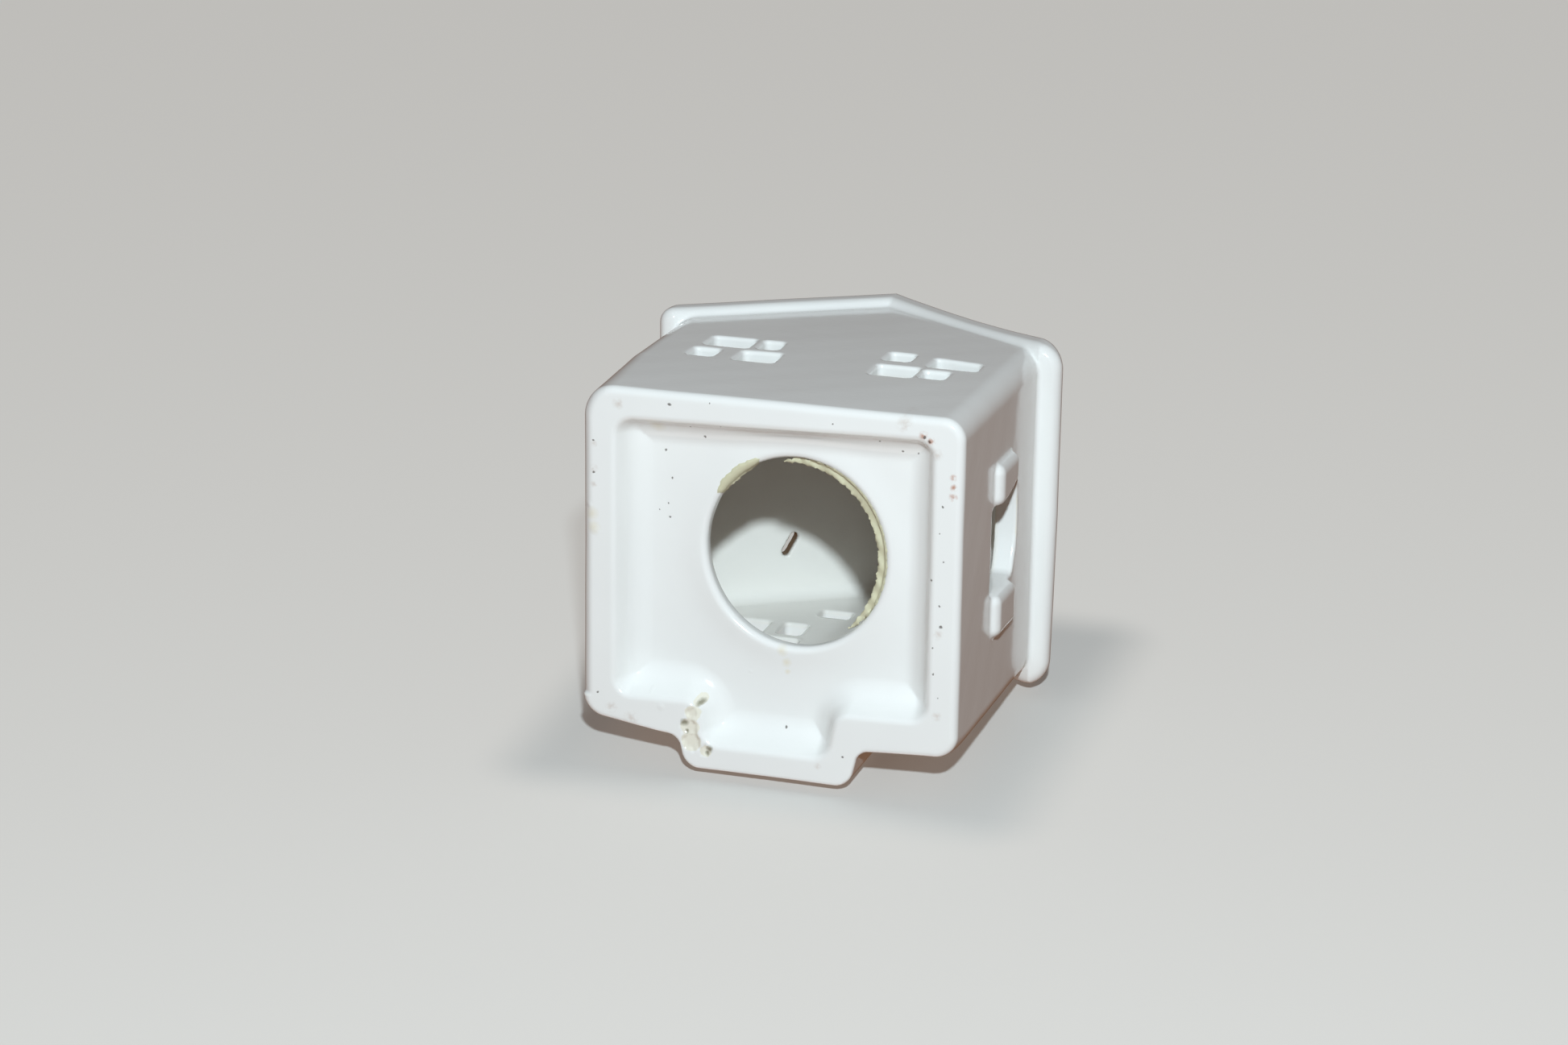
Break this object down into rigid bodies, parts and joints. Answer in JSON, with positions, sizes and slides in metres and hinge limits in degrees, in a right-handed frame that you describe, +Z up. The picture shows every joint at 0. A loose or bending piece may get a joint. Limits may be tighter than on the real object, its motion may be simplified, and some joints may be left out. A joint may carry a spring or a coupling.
{
  "type": "ceramic house luminary",
  "caption": "White glazed ceramic house for a small candle or lamp, with pierced windows, raised shutters, a porch and a round light hole in its hollow foot.",
  "frame": {"origin": "on the surface the house stands on, under the middle of the whole house with its porch and roof", "axes": "+Z up, -Y towards the porch and front gable, +X towards the right slope seen from the front"},
  "size_m": [0.0952, 0.0856, 0.0978],
  "materials": {
    "glazed_body": "white transparent-over-white glaze, glossy, fired on earthenware",
    "glazed_roof": "white glossy glaze, thick on the rounded edges",
    "glazed_foot": "white glaze wiped thin on the rim, with specks and small stains",
    "dried_adhesive": "yellowed translucent film of dried adhesive"
  },
  "bodies": {
    "root": {"foot_ring": "glazed_foot", "floor_panel": "glazed_foot", "rear_gable_wall": "glazed_body", "front_gable_wall": "glazed_body", "left_side_wall": "glazed_body", "right_side_wall": "glazed_body", "porch": "glazed_body", "left_roof_slope": "glazed_roof", "right_roof_slope": "glazed_roof", "left_front_shutter": "glazed_body", "left_rear_shutter": "glazed_body", "right_front_shutter": "glazed_body", "right_rear_shutter": "glazed_body", "adhesive_arc": "dried_adhesive", "adhesive_flake": "dried_adhesive"}
  },
  "joints": []
}
